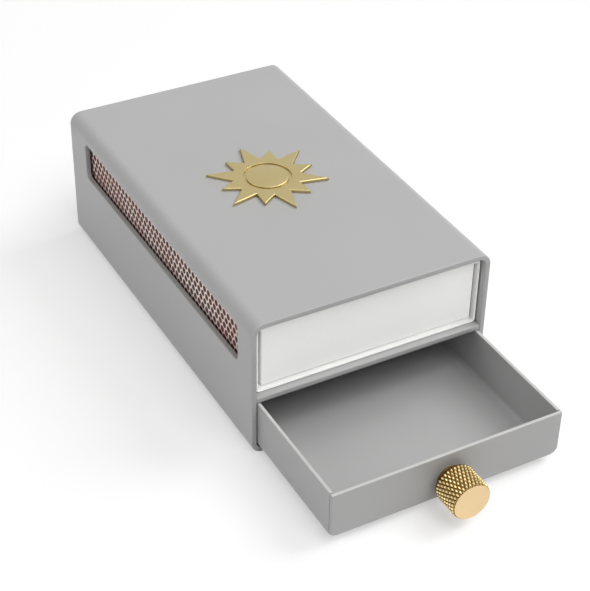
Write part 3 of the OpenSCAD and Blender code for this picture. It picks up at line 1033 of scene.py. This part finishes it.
def aspen():
    """Pale split wood: grain along X, half a millimetre apart, and sticks that differ."""
    material, tree, shader = new_material("aspen_split", Roughness=0.65)
    place = add(tree, "TexCoord").outputs["Object"]
    stretched = add(tree, "Mapping", {"Vector": place, "Scale": (ASPEN_STRETCH, 1.0, 1.0)})
    grain = add(tree, "TexNoise", {"Vector": stretched.outputs["Vector"],
                                   "Scale": per_mm(ASPEN_GRAIN_MM), "Detail": 4.0})
    show_pattern(tree, shader, grain.outputs["Fac"], relief=(0.35, 0.08),
                 tones=(linear(ASPEN_DARK), linear(ASPEN_PALE)))
    return material


def head_paste():
    """Dried match head paste: dull dark red with a pitted skin."""
    material, tree, shader = new_material("match_head_paste", Roughness=0.72)
    place = add(tree, "TexCoord").outputs["Object"]
    pits = add(tree, "TexVoronoi", {"Vector": place, "Scale": per_mm(PITS_MM)})
    show_pattern(tree, shader, pits.outputs["Distance"], relief=(0.5, 0.08),
                 tones=(linear(HEAD_DARK), linear(HEAD_RED)))
    return material


wood, red_paste = aspen(), head_paste()
print("Match materials", wood.name, red_paste.name)

# %% Lay the matches
STICK, STICK_ROUND, STICK_SHARE = 2.0 * MM, 0.12 * MM, 0.97
HEAD_RADIUS_MATCH, HEAD_LENGTH = 1.554 * MM, 4.81 * MM
MATCHES, LAYERS = 31, 2
stick_low, stick_high, _, stick_size = span("match_sticks")
rng = np.random.default_rng(7)
layer, row = np.divmod(np.arange(MATCHES * LAYERS), MATCHES)
match_y = stick_low[1] + STICK / 2 + row * (stick_size[1] - STICK) / (MATCHES - 1)
match_z = stick_low[2] + STICK / 2 + layer * (stick_size[2] - STICK) / (LAYERS - 1)
roll = rng.uniform(-0.16, 0.16, len(row))
shift = rng.uniform(-0.9, 0.5, len(row)) * MM
fuller = rng.uniform(0.93, 0.995, len(row))


def lay(points):
    """Copies of a match's points, (n, 3) round the X axis, each rolled about X, shifted
    along it and moved to its place, as (matches, n, 3)."""
    x = points[None, :, 0] + shift[:, None]
    c, s = np.cos(roll)[:, None], np.sin(roll)[:, None]
    y = points[None, :, 1] * c - points[None, :, 2] * s + match_y[:, None]
    z = points[None, :, 1] * s + points[None, :, 2] * c + match_z[:, None]
    return np.stack([x, y, z], -1)


def copies(points, faces):
    """All points and faces of equal pieces, (pieces, n, 3) with one list of faces."""
    count = points.shape[1]
    return points.reshape(-1, 3), [list(np.add(face, piece * count))
                                   for piece in range(len(points)) for face in faces]


section, _ = round_outline(STICK * STICK_SHARE, STICK * STICK_SHARE, STICK_ROUND, 1)
ends = np.array([stick_low[0], stick_high[0]])
stick = np.stack([np.column_stack([np.full(len(section), x), section]) for x in ends])
sticks = copies(lay(stick.reshape(-1, 3)), capped(stick))
stick_piece = make_piece("aspen_sticks", *sticks, [wood])
take_place(stick_piece, "tray", "match_wood", "match_sticks")

# %% Dip the heads
HEAD_SIDES = 14


def head_rings():
    """One head as rings along X: its radius is a superellipse of power 2.6, so the head is a
    long drop, and its tip at the end of the stick is a little fuller than its tail."""
    share = np.cos(np.linspace(0, math.pi, 11)[1:-1])
    swell = (1 - np.abs(share) ** 2.6) ** (1 / 2.6)
    turn = full_turn(HEAD_SIDES)
    _, high, _, _ = span("match_heads")
    x = high[0] - HEAD_LENGTH / 2 + share * HEAD_LENGTH / 2
    radius = HEAD_RADIUS_MATCH * swell * (1 + 0.02 * share)
    rings = [np.column_stack([np.full(HEAD_SIDES, px), r * np.cos(turn), r * np.sin(turn)])
             for px, r in zip(x, radius)]
    return np.stack(rings)


head = head_rings()
heads = lay(head.reshape(-1, 3))
middles = np.stack([match_y, match_z], -1)[:, None]
heads[..., 1:] = middles + (heads[..., 1:] - middles) * fuller[:, None, None]
head_piece = make_piece("dipped_heads", *copies(heads, capped(head)), [red_paste])
take_place(head_piece, "tray", "match_paste", "match_heads")

# %% [markdown]
# ## Floor and sky
#
# The photograph is a product shot: a white sweep under broad, soft light from the right, with
# one faint shadow on the left. The floor is white card lit like the object. Where the camera
# looks at it, it gets light of its own, so that it reaches full white away from the shadow but
# keeps the shadow. Between 16 cm and 1 m from the origin that light takes over from the lamps,
# and beyond it the floor is plain white. The sky is white for the camera and for reflections,
# and a plain soft grey for the light that falls on the object.

# %% The floor
FLOOR_HALF = 3.0
FLOOR_WHITE, FLOOR_SEEN, FLOOR_LIFT = 0.9, 0.62, 0.45
FADE_NEAR, FADE_FAR = 0.16, 1.0


def seen_directly(tree):
    """1 for what the camera sees, also in a mirror or through glass, and 0 for the light that
    a surface throws on others."""
    path = add(tree, "LightPath").outputs
    seen = add(tree, "Math", {0: path["Is Camera Ray"], 1: path["Is Glossy Ray"]},
               operation="MAXIMUM")
    seen = add(tree, "Math", {0: seen.outputs[0], 1: path["Is Transmission Ray"]},
               operation="MAXIMUM")
    return seen.outputs[0]


def sweep_material():
    """White floor. To the light that bounces off it, it is white card. To the camera and in
    mirrors it is greyer and glows by the rest, which makes the object's shadow paler. Far from
    the object it is all glow, so that it meets the sky without a line."""
    material = bpy.data.materials.new("white_sweep")
    material.use_nodes = True
    tree = material.node_tree
    tree.nodes.clear()
    seen = seen_directly(tree)
    away = add(tree, "VectorMath", {0: add(tree, "TexCoord").outputs["Object"]},
               operation="LENGTH").outputs["Value"]
    fade = {"Value": away, "From Min": FADE_NEAR, "From Max": FADE_FAR}
    own_light = add(tree, "MapRange", {**fade, "To Min": FLOOR_LIFT, "To Max": 1.0})
    shade = add(tree, "MapRange", {**fade, "To Min": FLOOR_SEEN, "To Max": 0.0})
    lift = add(tree, "Math", {0: seen, 1: own_light.outputs[0]}, operation="MULTIPLY")
    grey = add(tree, "MapRange", {"Value": seen, "To Min": FLOOR_WHITE,
                                  "To Max": shade.outputs[0]})
    card_white = add(tree, "BsdfDiffuse", {"Color": grey.outputs[0]})
    glow = add(tree, "Emission", {"Strength": lift.outputs[0]})
    both = add(tree, "AddShader", {0: card_white.outputs[0], 1: glow.outputs[0]})
    add(tree, "OutputMaterial", {"Surface": both.outputs[0]})
    return material


floor_mesh = bpy.data.meshes.new("sweep")
corners = [(-1, -1), (1, -1), (1, 1), (-1, 1)]
floor_mesh.from_pydata([(x * FLOOR_HALF, y * FLOOR_HALF, 0) for x, y in corners], [],
                       [(0, 1, 2, 3)])
floor_mesh.materials.append(sweep_material())
floor = bpy.data.objects.new("sweep", floor_mesh)
bpy.context.scene.collection.objects.link(floor)
print("Floor", 2 * FLOOR_HALF, "m wide")

# %% The sky
SKY_ZENITH, SKY_HORIZON = 0.27, 0.16
ZENITH_FROM = 0.9

world = bpy.data.worlds.new("studio")
bpy.context.scene.world = world
world.use_nodes = True
sky = world.node_tree
sky.nodes.clear()
heading = add(sky, "TexCoord").outputs["Generated"]
height = add(sky, "SeparateXYZ", {0: heading}).outputs["Z"]
soft = add(sky, "MapRange", {"Value": height, "From Max": ZENITH_FROM,
                             "To Min": SKY_HORIZON, "To Max": SKY_ZENITH})
level = add(sky, "Mix", {0: seen_directly(sky), 2: soft.outputs["Result"], 3: 1.0})
light = add(sky, "Background", {"Color": (1, 1, 1, 1), "Strength": level.outputs[0]})
add(sky, "OutputWorld", {"Surface": light.outputs[0]})
print("Sky from", SKY_HORIZON, "at the horizon to", SKY_ZENITH, "overhead")

# %% [markdown]
# ## The lamps
#
# Three large soft boxes light everything: the key from the right, one in front and one on the
# left, all from above. A smaller one stands low in front and is linked to the two card pieces
# alone, because white card that is lit like the steel looks grey. It is weak enough that the
# card's end doesn't clip to white when the matchbox and its tray are pulled out.

# %% The lamps
LAMP_SIDE, CARD_LAMP_SIDE = 1.0, 0.4
CASE_MIDDLE, CARD_MIDDLE = (0, 0, 0.02), (0, 0, 0.03)
KEY_PLACE, KEY_WATTS = (1.2, -0.2, 1.36), 15.3
FRONT_PLACE, FRONT_WATTS = (0.16, -0.96, 1.52), 12.4
SIDE_PLACE, SIDE_WATTS = (-1.52, 0.16, 0.8), 5.0
CARD_LAMP_PLACE, CARD_LAMP_WATTS = (0.3, -1.6, 0.2), 6.2


def softbox(name, place, target, size, power, lit=()):
    """A square area lamp that faces its target. With a list of pieces, it lights only these."""
    lamp = bpy.data.lights.new(name, "AREA")
    lamp.shape = "SQUARE"
    lamp.size = size
    lamp.energy = power
    box = bpy.data.objects.new(name, lamp)
    box.location = Vector(place)
    box.rotation_euler = (Vector(target) - box.location).to_track_quat("-Z", "Y").to_euler()
    bpy.context.scene.collection.objects.link(box)
    if lit:
        box.light_linking.receiver_collection = bpy.data.collections.new(name + "_lit")
        for piece in lit:
            box.light_linking.receiver_collection.objects.link(piece)


softbox("key_box", KEY_PLACE, CASE_MIDDLE, LAMP_SIDE, KEY_WATTS)
softbox("front_box", FRONT_PLACE, CASE_MIDDLE, LAMP_SIDE, FRONT_WATTS)
softbox("side_box", SIDE_PLACE, CASE_MIDDLE, LAMP_SIDE, SIDE_WATTS)
softbox("card_box", CARD_LAMP_PLACE, CARD_MIDDLE, CARD_LAMP_SIDE, CARD_LAMP_WATTS,
        (tray_piece, sleeve_piece))

# %% [markdown]
# ## Finish
#
# The view transform is Standard, so colours come out as written.

# %% Finish
bpy.context.scene.view_settings.view_transform = "Standard"
